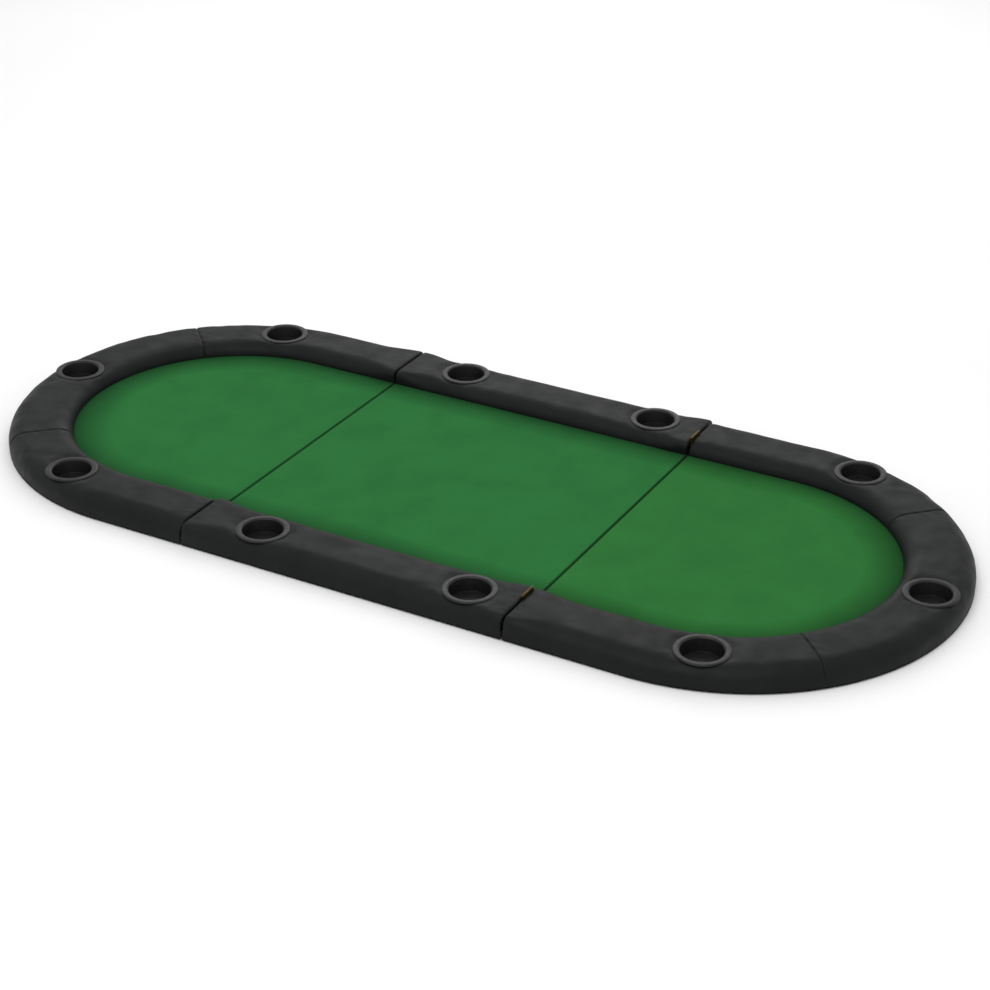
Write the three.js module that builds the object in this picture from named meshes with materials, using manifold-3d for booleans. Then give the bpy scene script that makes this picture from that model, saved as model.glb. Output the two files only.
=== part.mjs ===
// Folding poker table top: three padded sections, ten cup holders, two folds.
// Millimetres. +X runs along the length, +Y across it, +Z up, z = 0 at the hinge bottoms.
import * as THREE from 'three';
import { mergeVertices } from 'three/addons/utils/BufferGeometryUtils.js';
import Module from 'manifold-3d';

const wasm = await Module();
wasm.setup();

// Overall plan
const LENGTH = 2057;
const WIDTH = 915;
const END_RADIUS = WIDTH / 2;
const ARC_X = LENGTH / 2 - END_RADIUS;
const LEFT_SEAM = 365;
const RIGHT_SEAM = 334;
const SEAM_GAP = 3.5;
const CENTRE_LEFT = SEAM_GAP / 2 - LEFT_SEAM;
const CENTRE_RIGHT = RIGHT_SEAM - SEAM_GAP / 2;
const RAIL_WIDTH = 134;
const FIT = 0.3;
const ARC_STEPS = 24;

// Heights
const UNDERSIDE = 4.1;
const BOARD_TOP = UNDERSIDE + 12;
const UNDERLAY_THICK = 2.4;
const FELT_THICK = 1;
const FRAME_HEIGHT = 9;
const FRAME_INSET = 5;
const COVER_THICK = 1.5;
const RAIL_TOP = UNDERSIDE + 47.4;
const OUTER_ROUND = 25;
const INNER_ROUND = 22;

// Cup holders
const CUP_INSET = 63;
const CUP_FLANGE_RADIUS = 52;
const CUP_FLANGE_THICK = 2.8;
const CUP_BODY_RADIUS = 41.3;
const CUP_HOLE_RADIUS = 42;
const CUP_TOP = UNDERSIDE + 44.4;
const CUP_DEPTH = 28;
const CUP_WALL = 2;
const CUP_TAPER = 3;
const NEAR_CUPS = [-216, 235];
const FAR_CUPS = [-226, 228];
const SHOULDER_ANGLE = 73;

// Hinges
const KNUCKLE_RADIUS = 2.3;
const BORE_RADIUS = 1.2;
const PIN_RADIUS = 1.1;
const LEAF_WIDTH = 40;
const LEAF_REACH = 38;
const LEAF_THICK = 1;
const KNUCKLES = 3;
const UPPER_HINGE_Y = 360;
const UPPER_HINGE_Z = RAIL_TOP + 0.3;
const HINGE_CLEARANCE = KNUCKLE_RADIUS + 0.5;
const LOWER_HINGE_Y = 330;
const LOWER_HINGE_Z = KNUCKLE_RADIUS;
const SCREW_SPREAD = 12;
const SCREW_LENGTH = 13;
const SCREW_RADIUS = 1.4;
const SCREW_HEAD_RADIUS = 2.7;

const FINISHES = {
  felt: { color: 0x2a7036, roughness: 0.95, metalness: 0 },
  leather: { color: 0x2b2f30, roughness: 0.5, metalness: 0 },
  foam: { color: 0xcfc9b4, roughness: 0.95, metalness: 0 },
  board: { color: 0xa07f58, roughness: 0.8, metalness: 0 },
  timber: { color: 0xc49b66, roughness: 0.75, metalness: 0 },
  plastic: { color: 0x1a1b1c, roughness: 0.4, metalness: 0 },
  brass: { color: 0xb98d3e, roughness: 0.35, metalness: 1 },
  steel: { color: 0xa8aaad, roughness: 0.35, metalness: 1 },
};

const group = new THREE.Group();
group.name = 'folding_poker_table_top';

// Turns a closed geometry into a solid for boolean work.
function solid(geometry) {
  const bare = geometry.clone();
  bare.deleteAttribute('normal');
  bare.deleteAttribute('uv');
  const merged = mergeVertices(bare, 1e-4);
  return new wasm.Manifold(new wasm.Mesh({
    numProp: 3,
    vertProperties: new Float32Array(merged.attributes.position.array),
    triVerts: new Uint32Array(merged.index.array),
  }));
}

// Turns a solid back into a geometry with flat shading.
function geometryOf(body) {
  const mesh = body.getMesh();
  const geometry = new THREE.BufferGeometry();
  geometry.setAttribute('position', new THREE.BufferAttribute(mesh.vertProperties, 3));
  geometry.setIndex(new THREE.BufferAttribute(mesh.triVerts, 1));
  geometry.computeVertexNormals();
  return geometry;
}

// Adds one named piece to its section.
function addPiece(parent, name, body, finish) {
  const material = new THREE.MeshStandardMaterial(FINISHES[finish]);
  material.name = finish;
  const mesh = new THREE.Mesh(geometryOf(body), material);
  mesh.name = name;
  parent.add(mesh);
}

// Extrudes a plan outline between two heights.
function slab(shape, low, high) {
  const options = { depth: high - low, bevelEnabled: false, curveSegments: ARC_STEPS / 2 };
  const geometry = new THREE.ExtrudeGeometry(shape, options);
  geometry.translate(0, 0, low);
  return solid(geometry);
}

// A box given by its low and high corners.
function block(low, high) {
  const size = high.map((value, axis) => value - low[axis]);
  const geometry = new THREE.BoxGeometry(...size);
  geometry.translate(...high.map((value, axis) => (value + low[axis]) / 2));
  return solid(geometry);
}

// A turned shape about the Z axis from [radius, height] pairs.
function turned(profile, steps) {
  const points = profile.map(([radius, height]) => new THREE.Vector2(radius, height));
  const geometry = new THREE.LatheGeometry(points, steps);
  geometry.rotateX(Math.PI / 2);
  return solid(geometry);
}

// A round rod along Z between two heights.
function rod(radius, low, high, steps) {
  return turned([[0, low], [radius, low], [radius, high], [0, high]], steps);
}

// Plan of the centre: a rectangle that may overrun its two ends.
function centrePlan(overrun, halfWidth) {
  const shape = new THREE.Shape();
  shape.moveTo(CENTRE_LEFT - overrun, -halfWidth);
  shape.lineTo(CENTRE_RIGHT + overrun, -halfWidth);
  shape.lineTo(CENTRE_RIGHT + overrun, halfWidth);
  shape.lineTo(CENTRE_LEFT - overrun, halfWidth);
  shape.closePath();
  return shape;
}

// Plan of a wing: a straight part that ends in a half circle.
function wingPlan(startX, halfWidth) {
  const shape = new THREE.Shape();
  shape.moveTo(startX, -halfWidth);
  shape.lineTo(ARC_X, -halfWidth);
  shape.absarc(ARC_X, 0, halfWidth, -Math.PI / 2, Math.PI / 2, false);
  shape.lineTo(startX, halfWidth);
  shape.closePath();
  return shape;
}

// Rail section as [distance from the long axis, height] pairs, rounded at both top corners.
function railSection(inset, low, high) {
  const inner = END_RADIUS - RAIL_WIDTH + inset;
  const outer = END_RADIUS - inset;
  const outerRound = Math.max(OUTER_ROUND - inset, 1);
  const innerRound = Math.max(INNER_ROUND - inset, 1);
  const points = [[inner, low], [outer, low]];
  for (let step = 0; step <= 3; step += 1) {
    const angle = (Math.PI / 6) * step;
    points.push([
      outer - outerRound + outerRound * Math.cos(angle),
      high - outerRound + outerRound * Math.sin(angle),
    ]);
  }
  for (let step = 0; step <= 3; step += 1) {
    const angle = Math.PI / 2 + (Math.PI / 6) * step;
    points.push([
      inner + innerRound + innerRound * Math.cos(angle),
      high - innerRound + innerRound * Math.sin(angle),
    ]);
  }
  return points;
}

// Plain rectangular rail section.
function plainSection(inset, low, high) {
  const inner = END_RADIUS - RAIL_WIDTH + inset;
  const outer = END_RADIUS - inset;
  return [[inner, low], [outer, low], [outer, high], [inner, high]];
}

// A straight run of rail section along X on one side of the table.
function straightRail(section, fromX, toX, side) {
  const shape = new THREE.Shape(section.map(([y, z]) => new THREE.Vector2(side * y, z)));
  const geometry = new THREE.ExtrudeGeometry(shape, { depth: toX - fromX, bevelEnabled: false });
  const axes = new THREE.Matrix4().makeBasis(
    new THREE.Vector3(0, 1, 0),
    new THREE.Vector3(0, 0, 1),
    new THREE.Vector3(1, 0, 0),
  );
  geometry.applyMatrix4(axes);
  geometry.translate(fromX, 0, 0);
  return solid(geometry);
}

// A wing rail: two straight runs joined by a half ring.
function wingRail(section, startX) {
  const closed = [...section, section[0]];
  const reach = WIDTH;
  const ring = turned(closed, ARC_STEPS * 2).translate([ARC_X, 0, 0]);
  const half = ring.intersect(block([ARC_X, -reach, -reach], [ARC_X + reach, reach, reach]));
  const far = straightRail(section, startX, ARC_X, 1);
  const near = straightRail(section, startX, ARC_X, -1);
  return half.add(far).add(near);
}

// Centres of the cup holders of one section, [x, y].
function centreCups(side) {
  const y = side * (END_RADIUS - CUP_INSET);
  return (side < 0 ? NEAR_CUPS : FAR_CUPS).map((x) => [x, y]);
}

function wingCups() {
  const radius = END_RADIUS - CUP_INSET;
  return [-SHOULDER_ANGLE, 0, SHOULDER_ANGLE].map((degrees) => {
    const angle = THREE.MathUtils.degToRad(degrees);
    return [ARC_X + radius * Math.cos(angle), radius * Math.sin(angle)];
  });
}

// Cuts the stepped holes the cup holders drop into, so that the flange has a seat.
function withCupHoles(body, cups) {
  const seat = CUP_TOP - CUP_FLANGE_THICK - FIT;
  const flange = CUP_FLANGE_RADIUS + 0.6;
  const hole = turned([
    [0, BOARD_TOP],
    [CUP_HOLE_RADIUS, BOARD_TOP],
    [CUP_HOLE_RADIUS, seat],
    [flange, seat],
    [flange, RAIL_TOP + 10],
    [0, RAIL_TOP + 10],
  ], 24);
  return cups.reduce((left, [x, y]) => left.subtract(hole.translate([x, y, 0])), body);
}

// Clears the leather at the seam ends where the upper hinge knuckles turn.
function withKnuckleRoom(body) {
  const room = rod(HINGE_CLEARANCE, -LEAF_WIDTH / 2 - 2, LEAF_WIDTH / 2 + 2, 10).rotate([90, 0, 0]);
  return [-UPPER_HINGE_Y, UPPER_HINGE_Y].reduce(
    (left, y) => left.subtract(room.translate([RIGHT_SEAM, y, UPPER_HINGE_Z])),
    body,
  );
}

// One cup holder: a flange, a tapering wall and a flat floor.
function cupBody() {
  const seat = CUP_TOP - CUP_FLANGE_THICK;
  const top = CUP_TOP;
  const floor = top - CUP_DEPTH;
  const mouth = CUP_BODY_RADIUS - CUP_WALL;
  return turned([
    [0, floor - CUP_WALL],
    [CUP_BODY_RADIUS - CUP_TAPER, floor - CUP_WALL],
    [CUP_BODY_RADIUS, seat],
    [CUP_FLANGE_RADIUS, seat],
    [CUP_FLANGE_RADIUS, seat + 1.4],
    [CUP_FLANGE_RADIUS - 1.6, top],
    [mouth + 1.4, top],
    [mouth, top - 1.4],
    [mouth - CUP_TAPER, floor],
    [0, floor],
  ], 24);
}

// Frame, pad and leather cover of one rail, made by a sweep of their sections.
function railParts(sweep, cups, lowerHollow) {
  const frameTop = BOARD_TOP + FIT + FRAME_HEIGHT;
  const inset = COVER_THICK + FIT;
  const frame = sweep(plainSection(FRAME_INSET, BOARD_TOP + FIT, frameTop), inset);
  const pad = sweep(railSection(inset, frameTop + FIT, RAIL_TOP - inset), inset);
  const skin = sweep(railSection(0, UNDERSIDE, RAIL_TOP), 0);
  const inside = sweep(railSection(COVER_THICK, UNDERSIDE - 1, RAIL_TOP - COVER_THICK), COVER_THICK);
  const cover = skin.subtract(inside).subtract(lowerHollow);
  return {
    frame: withCupHoles(frame, cups),
    pad: withCupHoles(pad, cups),
    cover: withKnuckleRoom(withCupHoles(cover, cups)),
  };
}

// Screw turned about Z, head top at z = 0, running down.
function screwBody() {
  return turned([
    [0, -SCREW_LENGTH],
    [SCREW_RADIUS, -SCREW_LENGTH + 3],
    [SCREW_RADIUS, -LEAF_THICK],
    [SCREW_HEAD_RADIUS, -0.1],
    [SCREW_HEAD_RADIUS, 0],
    [0, 0],
  ], 8);
}

// Clearance for one screw through everything it passes.
function screwHole() {
  return turned([
    [0, -SCREW_LENGTH - 0.5],
    [SCREW_RADIUS + FIT, -SCREW_LENGTH - 0.5],
    [SCREW_RADIUS + FIT, -LEAF_THICK],
    [SCREW_HEAD_RADIUS + FIT, 0.1],
    [SCREW_HEAD_RADIUS + FIT, 1],
    [0, 1],
  ], 8);
}

// Places of the two screws of a leaf in hinge coordinates, [across, out from the pin].
function screwPlaces() {
  return [-SCREW_SPREAD, SCREW_SPREAD].map((across) => [across, LEAF_REACH - 6]);
}

// One hinge leaf in hinge coordinates: pin along X, plate toward +Y, faced at +Z.
// The plate lies under the pin by 0.5 to 1.5 mm, with its back at the lower side.
function leafBody(first) {
  const low = -0.5 - LEAF_THICK;
  const pitch = LEAF_WIDTH / KNUCKLES;
  let leaf = block([-LEAF_WIDTH / 2, 1, low], [LEAF_WIDTH / 2, LEAF_REACH, -0.5]);
  for (let index = 0; index < KNUCKLES; index += 1) {
    const from = -LEAF_WIDTH / 2 + index * pitch;
    if (index % 2 === first) {
      const knuckle = rod(KNUCKLE_RADIUS, from + FIT / 2, from + pitch - FIT / 2, 14);
      leaf = leaf.add(knuckle.rotate([0, 90, 0]));
    } else {
      const reach = KNUCKLE_RADIUS + 0.6;
      leaf = leaf.subtract(block([from - FIT / 2, 0, -5], [from + pitch + FIT / 2, reach, 5]));
    }
  }
  leaf = leaf.subtract(rod(BORE_RADIUS, -LEAF_WIDTH, LEAF_WIDTH, 10).rotate([0, 90, 0]));
  const hole = screwHole();
  screwPlaces().forEach(([across, out]) => {
    leaf = leaf.subtract(hole.translate([across, out, -0.5]));
  });
  return leaf;
}

// Hinge pin with a small head at each end, along X.
function pinBody() {
  const half = LEAF_WIDTH / 2 + FIT;
  return turned([
    [0, -half - 0.9],
    [1.5, -half - 0.9],
    [1.9, -half],
    [PIN_RADIUS, -half],
    [PIN_RADIUS, half],
    [1.9, half],
    [1.5, half + 0.9],
    [0, half + 0.9],
  ], 10).rotate([0, 90, 0]);
}

// Moves a hinge-coordinate solid to its place. The columns give where the hinge
// X (pin), Y (plate) and Z (face) directions point on the table.
function place(body, pin, plate, face, origin) {
  const matrix = [...pin, 0, ...plate, 0, ...face, 0, ...origin, 1];
  return body.transform(matrix);
}

// The four leaf settings of the hinges: two over the right seam, two under the left one.
function leafSettings() {
  const settings = [];
  [['near', -1], ['far', 1]].forEach(([side, sign]) => {
    const upper = [RIGHT_SEAM, sign * UPPER_HINGE_Y, UPPER_HINGE_Z];
    const lower = [-LEFT_SEAM, sign * LOWER_HINGE_Y, LOWER_HINGE_Z];
    settings.push({
      name: `right_hinge_${side}`,
      centre: [[0, 1, 0], [0, 0, -1], [1, 0, 0], upper],
      wing: [[0, -1, 0], [0, 0, -1], [-1, 0, 0], upper],
    });
    settings.push({
      name: `left_hinge_${side}`,
      centre: [[0, 1, 0], [1, 0, 0], [0, 0, -1], lower],
      wing: [[0, -1, 0], [-1, 0, 0], [0, 0, -1], lower],
    });
  });
  return settings;
}

// Screw holes of one leaf, placed on the table.
function leafDrills(frame) {
  const hole = screwHole();
  return screwPlaces().map(([across, out]) => place(hole.translate([across, out, -0.5]), ...frame));
}

function drilled(body, drills) {
  return drills.reduce((left, drill) => left.subtract(drill), body);
}

// Hinge hardware of one setting, shared between the centre and its wing.
function addHinge(setting, centre, wing) {
  const screw = screwBody();
  const owners = [['centre', centre, 0], ['wing', wing, 1]];
  owners.forEach(([owner, parent, first]) => {
    const frame = setting[owner];
    addPiece(parent, `${setting.name}_${owner}_leaf`, place(leafBody(first), ...frame), 'brass');
    screwPlaces().forEach(([across, out], index) => {
      const body = place(screw.translate([across, out, -0.5]), ...frame);
      addPiece(parent, `${setting.name}_${owner}_screw_${index + 1}`, body, 'steel');
    });
  });
  addPiece(centre, `${setting.name}_pin`, place(pinBody(), ...setting.centre), 'brass');
}

// Base board, underlay and felt of one section from its plan function.
function addDeck(parent, name, plan, endShift, drills) {
  const inner = END_RADIUS - RAIL_WIDTH - FIT;
  const board = slab(plan(endShift, END_RADIUS - COVER_THICK - FIT), UNDERSIDE, BOARD_TOP);
  const underlayLow = BOARD_TOP + FIT;
  const feltLow = underlayLow + UNDERLAY_THICK + FIT;
  const underlay = slab(plan(endShift, inner), underlayLow, underlayLow + UNDERLAY_THICK);
  const felt = slab(plan(endShift, inner), feltLow, feltLow + FELT_THICK);
  addPiece(parent, `${name}_base_board`, drilled(board, drills), 'board');
  addPiece(parent, `${name}_underlay`, underlay, 'foam');
  addPiece(parent, `${name}_felt`, felt, 'felt');
}

// Rail pieces and cup holders of one rail.
function addRail(parent, name, parts, cups, drills) {
  const cup = cupBody();
  addPiece(parent, `${name}_rail_frame`, drilled(parts.frame, drills), 'timber');
  addPiece(parent, `${name}_rail_pad`, parts.pad, 'foam');
  addPiece(parent, `${name}_rail_cover`, drilled(parts.cover, drills), 'leather');
  cups.forEach(([x, y], index) => {
    addPiece(parent, `${name}_cup_${index + 1}`, cup.translate([x, y, 0]), 'plastic');
  });
}

// The middle section with its two straight rails.
function addCentre(parent, drills) {
  const hollow = slab(centrePlan(1, END_RADIUS - COVER_THICK), 0, BOARD_TOP + FIT);
  addDeck(parent, 'centre', centrePlan, 0, drills);
  [['near', -1], ['far', 1]].forEach(([side, sign]) => {
    const sweep = (section, inset) => (
      straightRail(section, CENTRE_LEFT + inset, CENTRE_RIGHT - inset, sign)
    );
    const cups = centreCups(sign);
    addRail(parent, `centre_${side}`, railParts(sweep, cups, hollow), cups, drills);
  });
}

// A wing: built for the right end; the left one is the same turned half a turn.
function addWing(parent, name, side, drills) {
  const turn = (body) => (side < 0 ? body.rotate([0, 0, 180]) : body);
  const local = drills.map(turn);
  const deck = new THREE.Group();
  const start = (side < 0 ? LEFT_SEAM : RIGHT_SEAM) + SEAM_GAP / 2;
  const hollow = slab(wingPlan(start - 1, END_RADIUS - COVER_THICK), 0, BOARD_TOP + FIT);
  const sweep = (section, inset) => wingRail(section, start + inset);
  addDeck(deck, name, wingPlan, start, local);
  addRail(deck, name, railParts(sweep, wingCups(), hollow), wingCups(), local);
  deck.children.slice().forEach((mesh) => {
    if (side < 0) {
      mesh.geometry.rotateZ(Math.PI);
    }
    parent.add(mesh);
  });
}

// Sections
const centre = new THREE.Group();
centre.name = 'centre_section';
const leftWing = new THREE.Group();
leftWing.name = 'left_section';
const rightWing = new THREE.Group();
rightWing.name = 'right_section';
group.add(centre, leftWing, rightWing);

const hinges = leafSettings();
const rightHinges = hinges.filter((setting) => setting.name.startsWith('right'));
const leftHinges = hinges.filter((setting) => setting.name.startsWith('left'));
addCentre(centre, hinges.flatMap((setting) => leafDrills(setting.centre)));
addWing(leftWing, 'left', -1, leftHinges.flatMap((setting) => leafDrills(setting.wing)));
addWing(rightWing, 'right', 1, rightHinges.flatMap((setting) => leafDrills(setting.wing)));
rightHinges.forEach((setting) => addHinge(setting, centre, rightWing));
leftHinges.forEach((setting) => addHinge(setting, centre, leftWing));

export default group;
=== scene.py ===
import logging
import math
from dataclasses import dataclass
from enum import Enum
from typing import Optional, Sequence

import bmesh
import bpy
from mathutils import Matrix, Vector, noise


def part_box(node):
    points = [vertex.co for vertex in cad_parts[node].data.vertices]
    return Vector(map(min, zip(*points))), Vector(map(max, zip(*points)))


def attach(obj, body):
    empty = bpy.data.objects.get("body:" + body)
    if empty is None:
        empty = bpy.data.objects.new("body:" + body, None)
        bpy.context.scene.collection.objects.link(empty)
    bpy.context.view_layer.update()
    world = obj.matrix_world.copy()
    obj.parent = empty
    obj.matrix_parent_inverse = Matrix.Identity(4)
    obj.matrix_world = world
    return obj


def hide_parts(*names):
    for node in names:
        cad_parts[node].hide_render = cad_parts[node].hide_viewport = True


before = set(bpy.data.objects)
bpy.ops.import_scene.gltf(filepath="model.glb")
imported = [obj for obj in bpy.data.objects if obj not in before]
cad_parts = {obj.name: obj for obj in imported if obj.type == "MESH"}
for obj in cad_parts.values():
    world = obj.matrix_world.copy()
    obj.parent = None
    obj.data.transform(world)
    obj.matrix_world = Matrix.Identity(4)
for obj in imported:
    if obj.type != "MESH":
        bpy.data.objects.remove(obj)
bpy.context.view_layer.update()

log = logging.getLogger("table_top")
MM = 0.001


class Section(Enum):
    """The three hinged sections, named as their rigid bodies."""

    CENTRE = "centre_section"
    LEFT = "left_section"
    RIGHT = "right_section"


class Wrap(Enum):
    """How far a rail runs round the table."""

    STRAIGHT = "straight"
    ROUND_END = "round_end"


# ---------------------------------------------------------------- finishes


class Recipe:
    """Short-hand for one node material."""

    def __init__(self, name: str) -> None:
        """Starts a material with its shader.

        Args:
            name: the material's name.
        """
        self.material = bpy.data.materials.new(name)
        self.material.use_nodes = True
        self.tree = self.material.node_tree
        self.shader = self.tree.nodes["Principled BSDF"]
        self.place = self.add("ShaderNodeTexCoord").outputs["Object"]

    def add(self, kind: str, **inputs: object) -> bpy.types.Node:
        """Adds a node.

        Args:
            kind: the node's type name.
            inputs: socket values, with underscores for the blanks in their names.

        Returns:
            The node.
        """
        node = self.tree.nodes.new(kind)
        for key, value in inputs.items():
            node.inputs[key.replace("_", " ")].default_value = value
        return node

    def link(self, source: bpy.types.NodeSocket, target: bpy.types.NodeSocket) -> None:
        """Joins two sockets."""
        self.tree.links.new(source, target)

    def set(self, **values: object) -> None:
        """Sets plain values on the shader, with underscores for blanks."""
        for key, value in values.items():
            self.shader.inputs[key.replace("_", " ")].default_value = value

    def stretched(self, scale: Sequence[float]) -> bpy.types.NodeSocket:
        """Object coordinates scaled by axis.

        Args:
            scale: factors along X, Y and Z.

        Returns:
            The scaled coordinates.
        """
        node = self.add("ShaderNodeMapping")
        node.inputs["Scale"].default_value = scale
        self.link(self.place, node.inputs["Vector"])
        return node.outputs["Vector"]

    def cloud(
        self,
        scale: float,
        detail: float = 4.0,
        rough: float = 0.5,
        place: Optional[bpy.types.NodeSocket] = None,
    ) -> bpy.types.NodeSocket:
        """A soft noise pattern.

        Args:
            scale: features per metre.
            detail: octaves.
            rough: how strong the fine octaves are.
            place: coordinates, the object's own by default.

        Returns:
            The noise value.
        """
        node = self.add("ShaderNodeTexNoise", Scale=scale, Detail=detail, Roughness=rough)
        self.link(place or self.place, node.inputs["Vector"])
        return node.outputs["Fac"]

    def cells(self, scale: float, smooth: float = 0.4) -> bpy.types.NodeSocket:
        """A pebbled pattern.

        Args:
            scale: cells per metre.
            smooth: how soft the cell borders are.

        Returns:
            The distance value.
        """
        node = self.add("ShaderNodeTexVoronoi", Scale=scale)
        node.feature = "SMOOTH_F1"
        node.inputs["Smoothness"].default_value = smooth
        self.link(self.place, node.inputs["Vector"])
        return node.outputs["Distance"]

    def span(
        self, value: bpy.types.NodeSocket, low: float, high: float, to_low: float, to_high: float
    ) -> bpy.types.NodeSocket:
        """Maps a value from one range to another.

        Args:
            value: the incoming socket.
            low: start of its range.
            high: end of its range.
            to_low: result at low.
            to_high: result at high.

        Returns:
            The mapped value.
        """
        node = self.add("ShaderNodeMapRange")
        self.link(value, node.inputs["Value"])
        for key, number in (("From Min", low), ("From Max", high), ("To Min", to_low), ("To Max", to_high)):
            node.inputs[key].default_value = number
        return node.outputs["Result"]

    def tint(
        self, factor: bpy.types.NodeSocket, stops: Sequence[tuple[float, Sequence[float]]]
    ) -> bpy.types.NodeSocket:
        """A colour ramp.

        Args:
            factor: what drives it.
            stops: pairs of position and linear colour.

        Returns:
            The colour.
        """
        node = self.add("ShaderNodeValToRGB")
        ramp = node.color_ramp
        while len(ramp.elements) < len(stops):
            ramp.elements.new(0.5)
        for element, (position, colour) in zip(ramp.elements, stops):
            element.position = position
            element.color = (*colour, 1.0)
        self.link(factor, node.inputs["Fac"])
        return node.outputs["Color"]

    def relief(
        self,
        height: bpy.types.NodeSocket,
        strength: float,
        depth: float,
        under: Optional[bpy.types.NodeSocket] = None,
    ) -> bpy.types.NodeSocket:
        """A bump layer.

        Args:
            height: the height pattern.
            strength: 0 to 1.
            depth: its depth in metres.
            under: a bump layer beneath it.

        Returns:
            The normal.
        """
        node = self.add("ShaderNodeBump", Strength=strength, Distance=depth)
        self.link(height, node.inputs["Height"])
        if under is not None:
            self.link(under, node.inputs["Normal"])
        return node.outputs["Normal"]

    def finish(
        self,
        colour: bpy.types.NodeSocket,
        rough: bpy.types.NodeSocket,
        normal: bpy.types.NodeSocket,
    ) -> bpy.types.Material:
        """Joins the last three patterns to the shader.

        Args:
            colour: base colour.
            rough: roughness.
            normal: bump.

        Returns:
            The finished material.
        """
        self.link(colour, self.shader.inputs["Base Color"])
        self.link(rough, self.shader.inputs["Roughness"])
        self.link(normal, self.shader.inputs["Normal"])
        return self.material


@dataclass(frozen=True)
class Leather:
    """Artificial leather with a fine pebble grain."""

    name: str = "black_leather"
    dark: tuple[float, float, float] = (0.0034, 0.0039, 0.0041)
    light: tuple[float, float, float] = (0.0056, 0.0063, 0.0066)
    grain: float = 620.0

    def make(self) -> bpy.types.Material:
        """Returns the leather material."""
        kit = Recipe(self.name)
        patches = kit.cloud(7.0, 3.0)
        colour = kit.tint(patches, [(0.3, self.dark), (0.7, self.light)])
        rough = kit.span(kit.cloud(23.0, 5.0), 0.3, 0.7, 0.47, 0.6)
        broad = kit.relief(kit.cloud(34.0, 2.0), 0.25, 0.0012)
        pebble = kit.relief(kit.cells(self.grain), 0.35, 0.0004, broad)
        pores = kit.relief(kit.cloud(2600.0, 2.0), 0.12, 0.0002, pebble)
        kit.set(Specular_IOR_Level=0.15)
        return kit.finish(colour, rough, pores)


@dataclass(frozen=True)
class Felt:
    """Short-napped green felt."""

    name: str = "green_felt"
    deep: tuple[float, float, float] = (0.013, 0.104, 0.024)
    pale: tuple[float, float, float] = (0.024, 0.158, 0.039)
    nap: float = 900.0
    arc_x: float = 571 * MM
    seams: tuple[float, float] = (-365 * MM, 334 * MM)

    def worked(self, kit: Recipe, operation: str, *values: object) -> bpy.types.NodeSocket:
        """One step of arithmetic on sockets and plain numbers.

        Args:
            kit: the recipe in hand.
            operation: the kind of step.
            values: its inputs in order.

        Returns:
            The result.
        """
        node = kit.add("ShaderNodeMath")
        node.operation = operation
        for slot, value in zip(node.inputs, values):
            if isinstance(value, bpy.types.NodeSocket):
                kit.link(value, slot)
            else:
                slot.default_value = value
        return node.outputs["Value"]

    def painted_shade(self, kit: Recipe) -> bpy.types.NodeSocket:
        """Returns the felt's painted shade: darker along the rail and in the seam gaps, where shade falls.
        """
        split = kit.add("ShaderNodeSeparateXYZ")
        kit.link(kit.place, split.inputs["Vector"])
        along, across = split.outputs["X"], split.outputs["Y"]
        past = self.worked(kit, "SUBTRACT", self.worked(kit, "ABSOLUTE", along), self.arc_x)
        past = self.worked(kit, "MAXIMUM", past, 0.0)
        squares = [self.worked(kit, "MULTIPLY", value, value) for value in (past, across)]
        reach = self.worked(kit, "SQRT", self.worked(kit, "ADD", *squares))
        # painted shade: the felt darkens towards the rail, where the rail shades it
        lit_share = kit.span(reach, 0.25, 0.325, 1.0, 0.38)
        for seam in self.seams:
            aside = self.worked(kit, "ABSOLUTE", self.worked(kit, "SUBTRACT", along, seam))
            # painted shadow: a dark line along each seam gap
            line = kit.span(aside, 0.0026, 0.0048, 0.4, 1.0)
            lit_share = self.worked(kit, "MULTIPLY", lit_share, line)
        return lit_share

    def make(self) -> bpy.types.Material:
        """Returns the felt material."""
        kit = Recipe(self.name)
        fibres = kit.cloud(self.nap, 6.0, 0.7)
        brushed = kit.cloud(9.0, 4.0, 0.6)
        mix = kit.add("ShaderNodeMath")
        mix.operation = "MULTIPLY_ADD"
        kit.link(brushed, mix.inputs[0])
        mix.inputs[1].default_value = 0.45
        scaled = kit.span(fibres, 0.0, 1.0, -0.05, 0.6)
        kit.link(scaled, mix.inputs[2])
        colour = kit.tint(mix.outputs["Value"], [(0.25, self.deep), (0.75, self.pale)])
        shade = kit.add("ShaderNodeMix")
        shade.data_type = "RGBA"
        # the painted shade along the rail and seams darkens the felt's colour here
        kit.link(self.painted_shade(kit), shade.inputs[0])
        shade.inputs[6].default_value = (0.0, 0.0, 0.0, 1.0)
        kit.link(colour, shade.inputs[7])
        colour = shade.outputs[2]
        rough = kit.span(fibres, 0.2, 0.8, 0.88, 1.0)
        lint = kit.relief(kit.cloud(150.0, 5.0, 0.65), 0.25, 0.0006)
        fuzz = kit.relief(fibres, 0.5, 0.0005, lint)
        kit.set(Specular_IOR_Level=0.05, Sheen_Weight=0.03, Sheen_Roughness=0.6)
        kit.set(Sheen_Tint=(0.35, 0.8, 0.42, 1.0))
        return kit.finish(colour, rough, fuzz)


@dataclass(frozen=True)
class CupPlastic:
    """Satin moulded plastic of the cup holders."""

    name: str = "cup_plastic"
    dark: tuple[float, float, float] = (0.0024, 0.0026, 0.0026)
    light: tuple[float, float, float] = (0.0042, 0.0044, 0.0044)

    def make(self) -> bpy.types.Material:
        """Returns the plastic material."""
        kit = Recipe(self.name)
        colour = kit.tint(kit.cloud(45.0, 3.0), [(0.3, self.dark), (0.7, self.light)])
        rough = kit.span(kit.cloud(160.0, 4.0), 0.3, 0.7, 0.38, 0.5)
        spark = kit.relief(kit.cloud(1900.0, 2.0), 0.1, 0.0002)
        kit.set(Specular_IOR_Level=0.33)
        return kit.finish(colour, rough, spark)


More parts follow.
